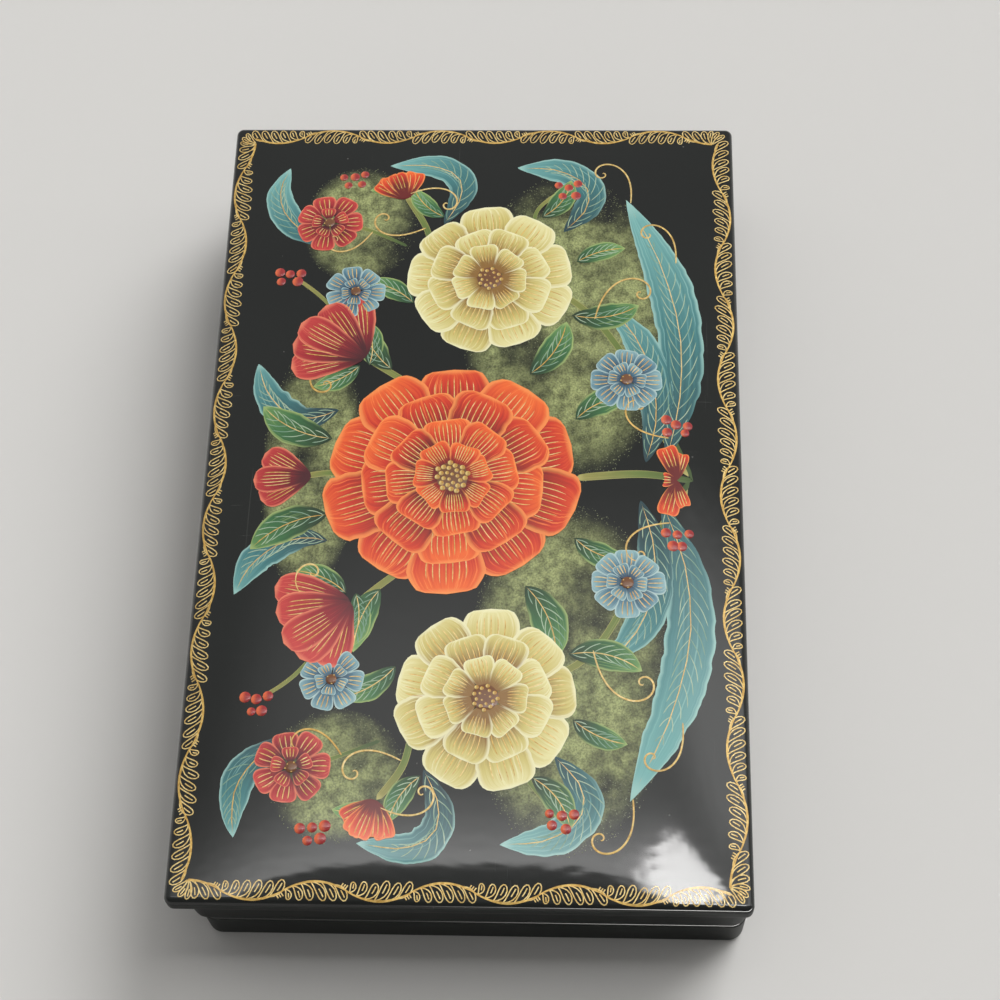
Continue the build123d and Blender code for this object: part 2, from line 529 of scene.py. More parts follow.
def gold_paint(name):
    """Ground gold under clear lacquer, paler where the brush was fuller, uneven and rubbed thin in places."""
    material, start = new_finish(name)
    place = on_object(start)
    uneven = noise(start, place, 1300.0, 3.0)
    rubbed = noise(start, place, 150.0, 4.0).ramp(0.50, 0.72)
    tone = carried(start, "tone")
    deep = uneven.ramp(0.3, 0.7).blend((0.52, 0.280, 0.042, 1), (0.80, 0.520, 0.130, 1))
    pale = uneven.ramp(0.3, 0.7).blend((0.67, 0.445, 0.130, 1), (0.90, 0.720, 0.340, 1))
    gold = (rubbed * 0.4).blend(tone.blend(deep, pale), (0.34, 0.19, 0.04, 1))
    end_finish(start, {
        "Base Color": gold,
        "Metallic": 0.3,
        "Roughness": 0.34 + uneven * 0.14,
        "Coat Weight": 0.6,
        "Coat Roughness": 0.06,
    })
    return material


def flat_stroke(start, curve, half_width, relief):
    """A raised brush stroke along a curve: a low ridge, closed at its ends."""
    ridge = start.node("GeometryNodeCurvePrimitiveCircle", None, {"Resolution": 3, "Radius": 1.0}, "Curve")
    ridge = ridge.node("GeometryNodeTransform", None, {
        "Geometry": ridge,
        "Rotation": (0.0, 0.0, math.pi / 2),
        "Scale": (relief, RIDGE_SPREAD, 1.0),
    })
    curve = curve.node("GeometryNodeSetCurveNormal", {"mode": "Z_UP"}, {"Curve": curve})
    return curve.node("GeometryNodeCurveToMesh", None, {
        "Curve": curve,
        "Profile Curve": ridge,
        "Scale": half_width,
        "Fill Caps": True,
    })


def lay_on_lid(shape, lift):
    """Lower a shape, drawn flat, onto the lid's crown and its rounded edge."""
    x, y, z = place_of(shape)
    over_x = (abs(x) - (HALF_LENGTH - LID_CORNER)).math("MAXIMUM", 0.0)
    over_y = (abs(y) - (HALF_WIDTH - LID_CORNER)).math("MAXIMUM", 0.0)
    inset = LID_CORNER - (over_x * over_x + over_y * over_y).math("SQRT")
    return set_place(shape, x, y, z + crown_top(x, y) - rounded(inset, LID_TOP_ROUND) + lift)


border_sizes = {
    "Swing": 1.85,
    "Stem half width": 0.23,
    "Loop half width": 0.12,
    "Loop breadth": 1.65,
    "Loop bow": 1.1,
    "Tip level": 0.95,
    "Tick length": 0.8,
    "Fan length": 3.7,
}
start = new_tree("gold_vine", border_sizes)
swing = start.out("Swing")


def vine_offset(waves):
    """How far outside its inner line the stem runs: long flat bends with quick crossings."""
    cosine = (waves * (2 * math.pi)).math("COSINE")
    return swing * (1 - cosine.math("SIGN") * abs(cosine) ** 0.85)


def set_between(count, shape, base, tip, breadth, seed):
    """Set copies of a shape, one unit long, between pairs of places, each a little off as by hand."""
    run_x = tip[0] - base[0]
    run_y = tip[1] - base[1]
    length = (run_x * run_x + run_y * run_y).math("SQRT")
    wobble = chance(start, -0.05, 0.05, seed)
    spots = set_place(start.node("GeometryNodePoints", None, {"Count": count}), base[0], base[1], 0.0)
    narrowed = (0.25 + length * 0.2).math("MINIMUM", 1.0)
    size = start.vector(length * (1 + wobble), breadth * narrowed, 1.0)
    return copies(spots, shape, size, start.vector(z=run_y.math("ARCTAN2", run_x) + wobble))


def bowed(along):
    """How far a loop's middle line stands off its chord: its foot runs along the stem, then turns away."""
    return start.out("Loop bow") * (along - along * along) * (1.4 - 0.8 * along)


# One loop: a closed drop from its pointed foot to its round tip, with a short stroke inside it
ring = {"Resolution": LOOP_POINTS, "Radius": 1.0}
drop = start.node("GeometryNodeCurvePrimitiveCircle", None, ring, "Curve")
turn = start.node("GeometryNodeInputIndex") * (2 * math.pi / LOOP_POINTS)
along = 0.5 - 0.5 * turn.math("COSINE")
aside = 0.65 * turn.math("SINE") * (turn * 0.5).math("SINE")
drop = set_place(drop, along, aside + bowed(along), 0.0)
along, _, _ = place_of(start)
heart = set_place(straight(start, 0.46, 0.86, 4), along, bowed(along), 0.0)
loop = join([drop, heart])
tick = straight(start, 0.0, 1.0, 2)


def side_vine(length, waves, seed):
    """One side's vine, from its inner corner at the origin along +X, with the lid's edge towards -Y."""
    pace = length / (waves + LAST_TURN)
    index = start.node("GeometryNodeInputIndex")
    x, _, _ = place_of(start)
    stem = straight(start, 0.0, length, STEM_POINTS * waves)
    stem = set_place(stem, x, 0.0 - vine_offset(x / pace), 0.0)
    swell = 0.6 + 0.4 * abs((x * (2 * math.pi / pace)).math("COSINE"))
    stem = flat_stroke(start, stem, start.out("Stem half width") * swell, 0.3)
    stem = keep(stem, "tone", 0.15)

    # The first bend is cut in half by the corner, so its first loops are left out
    place = index + LOOPS_PER_BEND // 2
    bend = ((place + 0.5) / LOOPS_PER_BEND).math("FLOOR")
    step = place - bend * LOOPS_PER_BEND
    side = 1 - 2 * bend.math("MODULO", 2.0)
    foot = bend * 0.5 - 0.25 + (FOOT_START + FOOT_STEP * step + FOOT_SPREAD * step * step) * 0.5
    foot = foot.math("MAXIMUM", 0.01)
    head = bend * 0.5 - 0.25 + (TIP_START + TIP_STEP * step) * 0.5
    base = (foot * pace, 0.0 - vine_offset(foot))
    tip = (head * pace, swing * (1 + side * start.out("Tip level")) * -1.0)
    count = LOOPS_PER_BEND * (2 * waves + 1) - LOOPS_PER_BEND // 2
    loops = set_between(count, loop, base, tip, start.out("Loop breadth") * side, seed)

    # Ticks stand where the stem crosses over, before the first loop of each bend
    bend = 1 + ((index + 0.5) / TICKS_PER_BEND).math("FLOOR")
    side = 1 - 2 * bend.math("MODULO", 2.0)
    foot = bend * 0.5 - TICK_START + TICK_STEP * (index - (bend - 1) * TICKS_PER_BEND)
    base = (foot * pace, 0.0 - vine_offset(foot))
    reach = start.out("Tick length")
    tip = (base[0] + reach * 0.7, base[1] - side * reach)
    ticks = set_between(2 * waves * TICKS_PER_BEND, tick, base, tip, 1.0, seed)

    # The fan opens from the inner corner towards the lid's corner
    way = index * FAN_STEP - FAN_START
    base = (index * 0.2 - 0.2, 0.0 - index * 0.05)
    reach = start.out("Fan length")
    tip = (reach * way.math("COSINE"), reach * way.math("SINE"))
    fan = set_between(FAN_LOOPS, loop, base, tip, start.out("Loop breadth") * 0.7, seed)
    strokes = join([loops, ticks, fan])
    strokes = keep(flat_stroke(start, strokes, start.out("Loop half width"), 0.35), "tone", 0.85)
    return join([stem, strokes])


inner_x = HALF_LENGTH - BORDER_INNER
inner_y = HALF_WIDTH - BORDER_INNER
vines = []
for number, (corner_x, corner_y) in enumerate(((1, -1), (1, 1), (-1, 1), (-1, -1))):
    length, waves = (2 * inner_x, LONG_WAVES) if number % 2 else (2 * inner_y, SHORT_WAVES)
    vine = side_vine(length, waves, number)
    vines.append(vine.node("GeometryNodeTransform", None, {
        "Geometry": vine,
        "Translation": (corner_x * inner_x, corner_y * inner_y, 0.0),
        "Rotation": (0.0, 0.0, math.radians(90 * (number + 1))),
    }))
end_tree(start, lay_on_lid(join(vines), BORDER_LIFT))
gold_border = make_piece("gold_border", start, gold_paint("border_gold"), sharp=60.0)
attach(gold_border, "lid")

# Painted ground of the picture
# A soft olive mist, stippled with the tip of a nearly dry brush onto the black before the flowers.
# Each dab is a tiny flat dome of egg paint, thicker towards the middle of its patch.

start = new_tree("stippled_mist", {"Dab size": 0.13, "Dabs per area": 20.0, "Seed": 11})
patches = []
for middle_x, middle_y, reach_x, reach_y in MIST_PATCHES:
    ring = {"Vertices": 40, "Radius": 1.0}
    disc = start.node("GeometryNodeMeshCircle", {"fill_type": "TRIANGLE_FAN"}, ring)
    fall_x, fall_y, _ = place_of(start)
    fall = 1 - (fall_x * fall_x + fall_y * fall_y) * 0.94
    cloud = noise(start, start.node("GeometryNodeInputPosition"), 2.6, 3.0).ramp(0.40, 0.66)
    dabs = start.node("GeometryNodeDistributePointsOnFaces", None, {
        "Mesh": disc,
        "Density": start.out("Dabs per area") * (reach_x * reach_y) * cloud * fall ** 1.6,
        "Seed": start.out("Seed") + len(patches),
    })
    patches.append(dabs.node("GeometryNodeTransform", None, {
        "Geometry": dabs,
        "Translation": (middle_x, middle_y, 0.0),
        "Scale": (reach_x, reach_y, 1.0),
    }))
dabs = keep(join(patches), "tone", chance(start, 0.0, 1.0, 6))
width = start.out("Dab size") * chance(start, 0.45, 1.15, 5)
dome = start.node("GeometryNodeMeshCone", {"fill_type": "NGON"}, {
    "Vertices": 5,
    "Radius Top": 0.0,
    "Radius Bottom": 1.0,
    "Depth": 0.06,
})
dabs = copies(dabs, dome, start.vector(width, width * 0.9, start.out("Dab size")))
end_tree(start, lay_on_lid(dabs, 0.0))
mist_paint, shade = new_finish("mist_paint")
tint = carried(shade, "tone")
drift = noise(shade, on_object(shade), 90.0, 2.0)
olive = tint.blend((0.080, 0.092, 0.036, 1), (0.170, 0.192, 0.080, 1))
olive = (drift.ramp(0.45, 0.7) * 0.5).blend(olive, (0.23, 0.26, 0.12, 1))
end_finish(shade, {"Base Color": olive, "Roughness": 0.45, "Coat Weight": 1.0, "Coat Roughness": 0.06})
picture_mist = make_piece("picture_mist", start, mist_paint, sharp=80.0)
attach(picture_mist, "lid")

# Stems and leaves of the picture
# A spray of flowers grows from the front edge. Each stem and leaf is one pull of a soft brush,
# a thin closed skin of paint laid on the crown, wider or finer as the brush was pressed.

draw = random.Random(20)


def arc(x, y, angle, length, bend, share):
    """A point part of the way along a curved pull of the brush, and the way it heads there."""
    if abs(bend) < 0.001:
        return x + length * share * math.cos(angle), y + length * share * math.sin(angle), angle
    first = angle - bend / 2
    now = first + bend * share
    radius = length / bend
    return x + radius * (math.sin(now) - math.sin(first)), y - radius * (math.cos(now) - math.cos(first)), now


def pull(strokes, points, half_width, lift):
    """Add one brush shape through these points to a list, in a tone of its own."""
    places = [(point[0], point[1], 0.0) for point in points]
    strokes.append((places, half_width, lift, draw.random()))


def pull_arc(strokes, x, y, angle, length, bend, half_width, lift):
    """Add one curved brush shape to a list."""
    pull(strokes, [arc(x, y, angle, length, bend, step / 3) for step in range(4)], half_width, lift)


def both_sides(points):
    """The same points on the right and on the left of the picture, a little different, as by hand."""
    shaken = [(-x + draw.uniform(-1.2, 1.2), y + draw.uniform(-1.2, 1.2)) for x, y in points]
    return (points, shaken)


def guide_mesh(name, places, edges, values):
    """A guide of points and edges, whose points carry a half width, a lift and a tone."""
    mesh = bpy.data.meshes.new(name)
    mesh.from_pydata(places, edges, [])
    for label, column in zip(("half_width", "lift", "tone"), zip(*values)):
        mesh.attributes.new(label, "FLOAT", "POINT").data.foreach_set("value", column)
    return mesh


def stroke_guide(name, strokes):
    """A guide of edges along each brush shape."""
    places = []
    edges = []
    values = []
    for points, half_width, lift, tone in strokes:
        edges += [(len(places) + i, len(places) + i + 1) for i in range(len(points) - 1)]
        places += points
        values += [(half_width, lift, tone)] * len(points)
    return guide_mesh(name, places, edges, values)


def named(start, label, kind="FLOAT"):
    """An attribute that the points of a tree carry."""
    return start.node("GeometryNodeInputNamedAttribute", {"data_type": kind}, {"Name": label}, "Attribute")


# A form of the brush is its base taper, tip fullness and tip taper
PETAL = (0.62, 4.5, 0.55)
LEAF = (0.75, 1.7, 0.95)
LINE = (0.10, 10.0, 0.25)
brush_sizes = {
    "Steps along": 22,
    "Steps across": 12,
    "Base taper": PETAL[0],
    "Tip fullness": PETAL[1],
    "Tip taper": PETAL[2],
    "Peak": 1.0,
    "Relief": 0.006,
    "Ruffle": 0.0,
    "Notch": 0.0,
}
start = new_tree("brush_shapes", brush_sizes)
spine = start.node("GeometryNodeMeshToCurve", None, {"Mesh": start.out("Geometry")})
spine = spine.node("GeometryNodeCurveSplineType", {"spline_type": "CATMULL_ROM"}, {"Curve": spine})
spine = spine.node("GeometryNodeSetSplineResolution", None, {"Geometry": spine, "Resolution": 10})
spine = spine.node("GeometryNodeResampleCurve", None, {"Curve": spine, "Count": start.out("Steps along")})
share = start.node("GeometryNodeSplineParameter", None, None, "Factor")
position = start.node("GeometryNodeInputPosition")
wave = noise(start, position, 0.32, 2.0) - 0.5
press = share ** start.out("Base taper") * (1 - share ** start.out("Tip fullness")) ** start.out("Tip taper")
press = press / start.out("Peak") * (1 + start.out("Ruffle") * wave)
spine = keep(spine, "along", share)
spine = keep(spine, "press", press)
spine = keep(spine, "centre", position, "FLOAT_VECTOR")
spine = keep(spine, "heading", start.node("GeometryNodeInputTangent"), "FLOAT_VECTOR")
rim = start.node("GeometryNodeCurvePrimitiveCircle", None, {
    "Resolution": start.out("Steps across"),
    "Radius": 1.0,
}, "Curve")
rim_x, rim_y, _ = place_of(start)
rim = keep(keep(rim, "across", rim_x), "height", rim_y)
skin = spine.node("GeometryNodeCurveToMesh", None, {"Curve": spine, "Profile Curve": rim, "Scale": 1.0})
centre_x, centre_y, _ = named(start, "centre", "FLOAT_VECTOR").axes()
heading_x, heading_y, _ = named(start, "heading", "FLOAT_VECTOR").axes()
press = named(start, "press")
reach = named(start, "across") * press
slip = start.out("Notch") * (1 - reach * reach) * named(start, "along") ** 6 * -1.0
aside = reach * named(start, "half_width")
skin_x = centre_x - heading_y * aside + heading_x * slip
skin_y = centre_y + heading_x * aside + heading_y * slip
rise = named(start, "lift") + start.out("Relief") * named(start, "height") * press
skin = set_place(skin, skin_x, skin_y, crown_top(skin_x, skin_y) + rise)
skin = skin.node("GeometryNodeMergeByDistance", None, {"Geometry": skin, "Distance": 0.0004})
for label in ("press", "centre", "heading", "height", "half_width", "lift"):
    skin = skin.node("GeometryNodeRemoveAttribute", None, {"Geometry": skin, "Name": label})
end_tree(start, skin)
brush_tree = start


def press_at(form, share):
    """How wide a brush shape is, part of the way along it."""
    base, full, tip = form
    return share ** base * (1 - share ** full) ** tip


def widest(form):
    """The largest width of a form, which scales it to the width that is asked for."""
    return max(press_at(form, step / 200) for step in range(1, 200))


def paint_piece(name, strokes, form, material, steps, rim_steps, relief=0.006, ruffle=0.0, notch=0.0):
    """Make one piece of the picture from a list of brush shapes, and let it ride on the lid."""
    values = (steps, rim_steps, *form, widest(form), relief, ruffle, notch)
    sizes = dict(zip(brush_sizes, values))
    piece = make_piece(name, brush_tree, material, sizes, stroke_guide(name + "_strokes", strokes))
    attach(piece, "lid")


def egg_paint(name, stops, rim, streaks=16.0):
    """Egg paint under clear lacquer: shaded along each brush shape, streaked, with a pale rim."""
    material, start = new_finish(name)
    along = carried(start, "along")
    across = carried(start, "across")
    tone = carried(start, "tone")
    streak = noise(start, start.vector(along * 1.6, across * streaks, tone * 40.0), 1.0, 3.0)
    shade = along + (streak - 0.5) * 0.5 + (tone - 0.5) * 0.3
    paint = start.node("ShaderNodeValToRGB", {"stops": stops}, {"Fac": shade}, "Color")
    edge = abs(across).ramp(0.80, 0.97)
    edge = edge.math("MAXIMUM", along.ramp(0.90, 0.985)) * along.ramp(0.12, 0.45)
    line = (streak.ramp(0.60, 0.66) - streak.ramp(0.68, 0.76)) * along.ramp(0.15, 0.5) * 0.45
    paint = (edge * 0.75).blend(paint, rim)
    paint = line.blend(paint, rim)
    end_finish(start, {
        "Base Color": paint,
        "Roughness": 0.32 + streak * 0.2,
        "Specular IOR Level": 0.3,
        "Coat Weight": 1.0,
        "Coat Roughness": 0.06,
    })
    return material


STEM_LIFT = 0.02
THICK_STEMS = (
    [(0, -47), (20, -38), (38, -27), (47, -17)],
    [(12, 0), (21, 12), (29, 24)],
    [(55, 10), (63, 12), (72, 17)],
    [(24, -34), (12, -40), (1, -46)],
)
THIN_STEMS = (
    [(60, -12), (68, -13), (74, -19)],
    [(34, 26), (44, 34), (50, 41)],
    [(58, 16), (62, 24), (64, 30)],
)
stems = []
for half_width, lines in ((0.75, THICK_STEMS), (0.45, THIN_STEMS)):
    pairs = [both_sides(points) for points in lines]
    for pair in pairs:
        for points in pair:
            pull(stems, points, half_width, STEM_LIFT)
pull(stems, [(0, -47), (1.2, -36), (0, -22)], 0.9, STEM_LIFT)
pull(stems, [(0, 24), (0.8, 30), (0, 36)], 0.7, STEM_LIFT)
stem_paint = egg_paint(
    "stem_paint",
    [(0.0, (0.05, 0.09, 0.02, 1)), (0.5, (0.14, 0.20, 0.04, 1)), (1.0, (0.30, 0.27, 0.07, 1))],
    (0.52, 0.47, 0.16, 1),
    5.0,
)
paint_piece("picture_stems", stems, LINE, stem_paint, 24, 8)

gold_veins = []
leaf_lines = []


def on_line(points, share):
    """A point part of the way along a smooth line through some points, and the way it heads there."""
    runs = len(points) - 1
    run = min(int(share * runs), runs - 1)
    t = share * runs - run
    near = [points[min(max(run + step, 0), runs)] for step in (-1, 0, 1, 2)]
    place = []
    slope = []
    for axis in (0, 1):
        a, b, c, d = (point[axis] for point in near)
        square = 2 * a - 5 * b + 4 * c - d
        cube = 3 * b - a - 3 * c + d
        place.append(b + 0.5 * ((c - a) * t + square * t ** 2 + cube * t ** 3))
        slope.append(c - a + 2 * square * t + 3 * cube * t ** 2)
    return place[0], place[1], math.atan2(slope[1], slope[0])


def leaf_veins(points, half_width, lift, pairs):
    """The gold rib of a leaf, and the pale side veins that leave it in pairs."""
    pull(gold_veins, [on_line(points, share) for share in (0.03, 0.25, 0.5, 0.75, 0.93)], 0.11, lift)
    for number in range(pairs):
        share = 0.06 + 0.78 * number / pairs
        x, y, way = on_line(points, share)
        reach = half_width * press_at(LEAF, min(share + 0.14, 0.95)) / widest(LEAF)
        for side in (-1, 1):
            vein = [arc(x, y, way + side * 0.42, reach * 1.5, -side * 0.55, step / 2) for step in range(3)]
            pull(leaf_lines, vein, 0.10, lift)


teal_leaves = []
for points, half_width in (
    ([(5, -41.5), (26, -45.0), (48, -42.5), (71, -33)], 5.2),
    ([(4, -37), (18, -39.5), (33, -36), (43, -28)], 4.2),
    ([(62, -19), (71, -25), (78.5, -20), (80, -8)], 3.8),
    ([(64, 8), (74, 4), (80, 9), (80.5, 21)], 3.4),
    ([(16, 29), (14, 37), (19, 44), (28, 47.5)], 3.6),
    ([(58, 33), (64, 42), (72, 46), (80, 44)], 3.4),
):
    for side in both_sides(points):
        pull(teal_leaves, side, half_width, 0.03)
        leaf_veins(side, half_width, 0.04, int(half_width * 3.2))
teal_paint = egg_paint(
    "teal_paint",
    [(0.0, (0.012, 0.045, 0.055, 1)), (0.5, (0.045, 0.19, 0.20, 1)), (1.0, (0.17, 0.42, 0.40, 1))],
    (0.36, 0.60, 0.54, 1),
    9.0,
)
paint_piece("picture_leaves_teal", teal_leaves, LEAF, teal_paint, 64, 14, ruffle=0.4)

green_leaves = []
for x, y, angle, length, bend in (
    (25, -12, -28, 17, 0.8), (26, 18, 24, 15, -0.7), (9, 30, 66, 17, -0.8), (66, -14, -38, 13, 0.9),
    (40, -21, -74, 15, 0.9), (54, -22, -66, 12, -0.6), (66, 8, 38, 12, -0.8), (43, 14, 62, 13, 0.7),
    (27, 23, 4, 12, 0.8), (27, 25, 118, 12, -0.7), (14, -22, -62, 14, -0.9), (72, 16, 78, 10, 0.7),
):
    for mirror in (1, -1):
        way = math.radians(angle if mirror == 1 else 180 - angle) + draw.uniform(-0.12, 0.12)
        size = length * draw.uniform(0.92, 1.08)
        lift = 0.045 + draw.random() * 0.02
        pull_arc(green_leaves, mirror * x, y, way, size, mirror * bend, size * 0.21, lift)
        rib = [arc(mirror * x, y, way, size, mirror * bend, step / 4) for step in range(5)]
        leaf_veins(rib, size * 0.21, lift + 0.01, 6)
green_paint = egg_paint(
    "green_paint",
    [(0.0, (0.010, 0.035, 0.010, 1)), (0.5, (0.035, 0.145, 0.045, 1)), (1.0, (0.16, 0.33, 0.10, 1))],
    (0.40, 0.50, 0.17, 1),
    9.0,
)
paint_piece("picture_leaves_green", green_leaves, LEAF, green_paint, 22, 12, ruffle=0.3)

vein_paint, shade = new_finish("vein_paint")
drift = noise(shade, on_object(shade), 160.0, 2.0)
pale = drift.ramp(0.35, 0.65).blend((0.16, 0.30, 0.20, 1), (0.38, 0.50, 0.34, 1))
end_finish(shade, {"Base Color": pale, "Roughness": 0.4, "Coat Weight": 1.0, "Coat Roughness": 0.06})
paint_piece("picture_leaf_veins", leaf_lines, LINE, vein_paint, 8, 6)

# Blossoms of the picture
# Vermilion, cream and crimson flowers and small blue rosettes, built up petal over petal from the outside in.
# Every petal is shaded dark to light along its length, and drawn over with hair-fine gold.

PETAL_LIFT = 0.08
PETAL_STEP = 0.013
RING_STEP = 0.040


def petal(strokes, x, y, angle, length, half_width, lift, veins=5):
    """One petal, and the gold lines that follow its shape."""
    bend = draw.uniform(-0.25, 0.25)
    angle += draw.uniform(-0.05, 0.05)
    length *= draw.uniform(0.94, 1.05)
    pull_arc(strokes, x, y, angle, length, bend, half_width, lift)
    for number in range(veins):
        place = (number - (veins - 1) / 2) / veins * 1.5
        points = []
        for share in (0.34, 0.52, 0.70, 0.86 - 0.10 * abs(place)):
            at_x, at_y, way = arc(x, y, angle, length, bend, share)
            aside = place * half_width * press_at(PETAL, share) / widest(PETAL) * 0.82
            points.append((at_x - math.sin(way) * aside, at_y + math.cos(way) * aside))
        pull(gold_veins, points, 0.10, lift + 0.009)


def blossom(strokes, x, y, rings, veins=5):
    """A whole flower, ring over ring. A ring is (petals, inner radius, length, half width, turn)."""
    for level, (count, inner, length, half_width, turn) in enumerate(rings):
        for number in range(count):
            angle = 2 * math.pi * (number + turn) / count
            turned = 2 if number == count - 1 and count % 2 else number % 2
            above = PETAL_LIFT + level * RING_STEP + turned * PETAL_STEP
            foot_x = x + inner * math.cos(angle)
            foot_y = y + inner * math.sin(angle)
            petal(strokes, foot_x, foot_y, angle, length, half_width, above, veins)


vermilion_petals = []
blossom(vermilion_petals, 0, 4, [
    (10, 6.0, 22.0, 8.0, 0.0),
    (9, 4.0, 17.5, 6.9, 0.5),
    (8, 2.6, 12.5, 5.2, 0.2),
    (7, 1.4, 8.0, 3.4, 0.6),
], 7)
for mirror in (1, -1):
    for turn in (-36, 36, -18, 18, 0):
        way = math.radians(18 if mirror == 1 else 162) + math.radians(turn)
        lift = PETAL_LIFT + (36 - abs(turn)) * 0.001
        petal(vermilion_petals, mirror * 71, 17, way, 9.0, 2.3, lift, 3)
for angle, length, half_width in (
    (16, 9.5, 2.3), (164, 9.5, 2.3), (-14, 7.5, 1.5), (194, 7.5, 1.5), (90, 3.6, 1.7),
):
    lift = PETAL_LIFT + angle % 7 * 0.008
    petal(vermilion_petals, 0, -43.5, math.radians(angle), length, half_width, lift, 3)
vermilion_paint = egg_paint(
    "vermilion_paint",
    [(0.32, (0.14, 0.005, 0.004, 1)), (0.68, (0.64, 0.034, 0.008, 1)), (1.0, (0.88, 0.135, 0.020, 1))],
    (0.98, 0.34, 0.085, 1),
)
paint_piece(
    "picture_petals_vermilion", vermilion_petals, PETAL, vermilion_paint, 22, 14, ruffle=0.25, notch=1.2,
)

cream_petals = []
for mirror in (1, -1):
    blossom(cream_petals, mirror * 49.5, -3.5 + mirror * 0.8, [
        (9, 4.4, 15.5, 5.9, 0.1 * mirror),
        (8, 3.0, 11.5, 4.7, 0.5),
        (7, 1.8, 7.6, 3.2, 0.2),
    ])
cream_paint = egg_paint(
    "cream_paint",
    [(0.30, (0.26, 0.13, 0.025, 1)), (0.66, (0.62, 0.52, 0.16, 1)), (1.0, (0.80, 0.74, 0.36, 1))],
    (0.90, 0.87, 0.58, 1),
)
paint_piece("picture_petals_cream", cream_petals, PETAL, cream_paint, 20, 12, ruffle=0.2, notch=0.9)

crimson_petals = []
for mirror in (1, -1):
    for number, turn in enumerate((-44, 44, -22, 22, 0)):
        way = math.radians(57 if mirror == 1 else 123) + math.radians(turn)
        length = 17.5 - abs(turn) * 0.03
        petal(crimson_petals, mirror * 29, 24, way, length, 4.0, PETAL_LIFT + number * PETAL_STEP)
for number, turn in enumerate((-30, 30, 0)):
    petal(crimson_petals, 0, 34, math.radians(90 + turn), 12.5, 3.2, PETAL_LIFT + number * PETAL_STEP)
for mirror in (1, -1):
    blossom(crimson_petals, mirror * 64.5, 34, [(7, 1.8, 6.2, 2.7, 0.3), (5, 0.8, 3.6, 1.7, 0.1)], 3)
crimson_paint = egg_paint(
    "crimson_paint",
    [(0.10, (0.060, 0.003, 0.008, 1)), (0.55, (0.33, 0.009, 0.018, 1)), (1.0, (0.58, 0.045, 0.040, 1))],
    (0.86, 0.26, 0.14, 1),
)
paint_piece("picture_petals_crimson", crimson_petals, PETAL, crimson_paint, 20, 12, ruffle=0.15, notch=0.3)

blue_petals = []
for mirror in (1, -1):
    blossom(blue_petals, mirror * 24, -33, [(8, 1.8, 6.4, 2.6, 0.0), (6, 0.8, 3.8, 1.7, 0.4)], 3)
    blossom(blue_petals, mirror * 46, 27, [(7, 1.6, 5.4, 2.3, 0.2), (5, 0.6, 3.2, 1.5, 0.4)], 3)
blue_paint = egg_paint(
    "blue_paint",
    [(0.0, (0.015, 0.035, 0.08, 1)), (0.5, (0.07, 0.18, 0.25, 1)), (1.0, (0.26, 0.44, 0.47, 1))],
    (0.55, 0.70, 0.66, 1),
)
paint_piece("picture_petals_blue", blue_petals, PETAL, blue_paint, 16, 10, ruffle=0.1, notch=0.5)

# Berries, flower hearts and gold of the picture
# Round dabs of thick paint for berries and hearts, each a low dome with a light side.
# Last come the gold veins and the curling tendrils.

SEED_TURN = 2.39996
BERRY_TURN = 1.2566
GROUND_TONE = 0.8
SEED_TONE = 0.95

dots = []


def dab(x, y, ring, around, half_width, lift, tone):
    """Add one dab, this far from a middle and this far round it."""
    dots.append((x + ring * math.cos(around), y + ring * math.sin(around), half_width, lift, tone))


for middle_x, middle_y, reach, count in (
    (0, 4, 3.6, 26), (49.5, -2.7, 2.8, 18), (-49.5, -4.3, 2.8, 18), (24, -33, 1.3, 7), (-24, -33, 1.3, 7),
    (46, 27, 1.1, 6), (-46, 27, 1.1, 6), (64.5, 34, 1.2, 7), (-64.5, 34, 1.2, 7),
):
    dab(middle_x, middle_y, 0.0, 0.0, reach * 1.02, 0.17, GROUND_TONE)
    for number in range(count):
        ring = reach * math.sqrt((number + 0.5) / count)
        dab(middle_x, middle_y, ring, number * SEED_TURN, reach * 0.16, 0.24, SEED_TONE)
for middle_x, middle_y in ((74, -20), (50.5, 42), (13, -43.5), (77, 29)):
    for mirror in (1, -1):
        for number in range(5):
            around = number * BERRY_TURN + draw.uniform(-0.3, 0.3)
            ring = 2.5 if number else 0.3
            half_width = draw.uniform(0.9, 1.25)
            dab(mirror * middle_x, middle_y, ring, around, half_width, 0.03, draw.uniform(0.0, 0.5))
start = new_tree("round_dabs", {"Rise": 0.16})
dome = start.node("GeometryNodeMeshUVSphere", None, {"Segments": 12, "Rings": 6, "Radius": 1.0})
_, dome_y, _ = place_of(start)
dome = keep(dome, "along", dome_y * 0.5 + 0.5)
size = named(start, "half_width")
size = start.vector(size, size, start.out("Rise") * size.math("MINIMUM", 0.9))
x, y, z = place_of(start)
spots = copies(start.out("Geometry"), dome, size)
end_tree(start, set_place(spots, x, y, z + crown_top(x, y) + named(start, "lift")))
middles = [(dot[0], dot[1], 0.0) for dot in dots]
dot_guide = guide_mesh("round_dab_places", middles, [], [dot[2:] for dot in dots])
dab_paint, shade = new_finish("dab_paint")
tone = carried(shade, "tone")
light_side = carried(shade, "along").ramp(0.35, 0.95)
berry = light_side.blend((0.30, 0.010, 0.012, 1), (0.86, 0.16, 0.05, 1))
heart = light_side.blend((0.46, 0.24, 0.03, 1), (0.92, 0.72, 0.26, 1))
ground = (tone > 0.9).blend((0.16, 0.055, 0.012, 1), heart)
end_finish(shade, {
    "Base Color": (tone > 0.7).blend(berry, ground),
    "Roughness": 0.35,
    "Coat Weight": 1.0,
    "Coat Roughness": 0.06,
})
picture_dabs = make_piece("picture_dabs", start, dab_paint, None, dot_guide)
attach(picture_dabs, "lid")

paint_piece("picture_gold_veins", gold_veins, LINE, gold_paint("picture_gold"), 10, 6, relief=0.008)

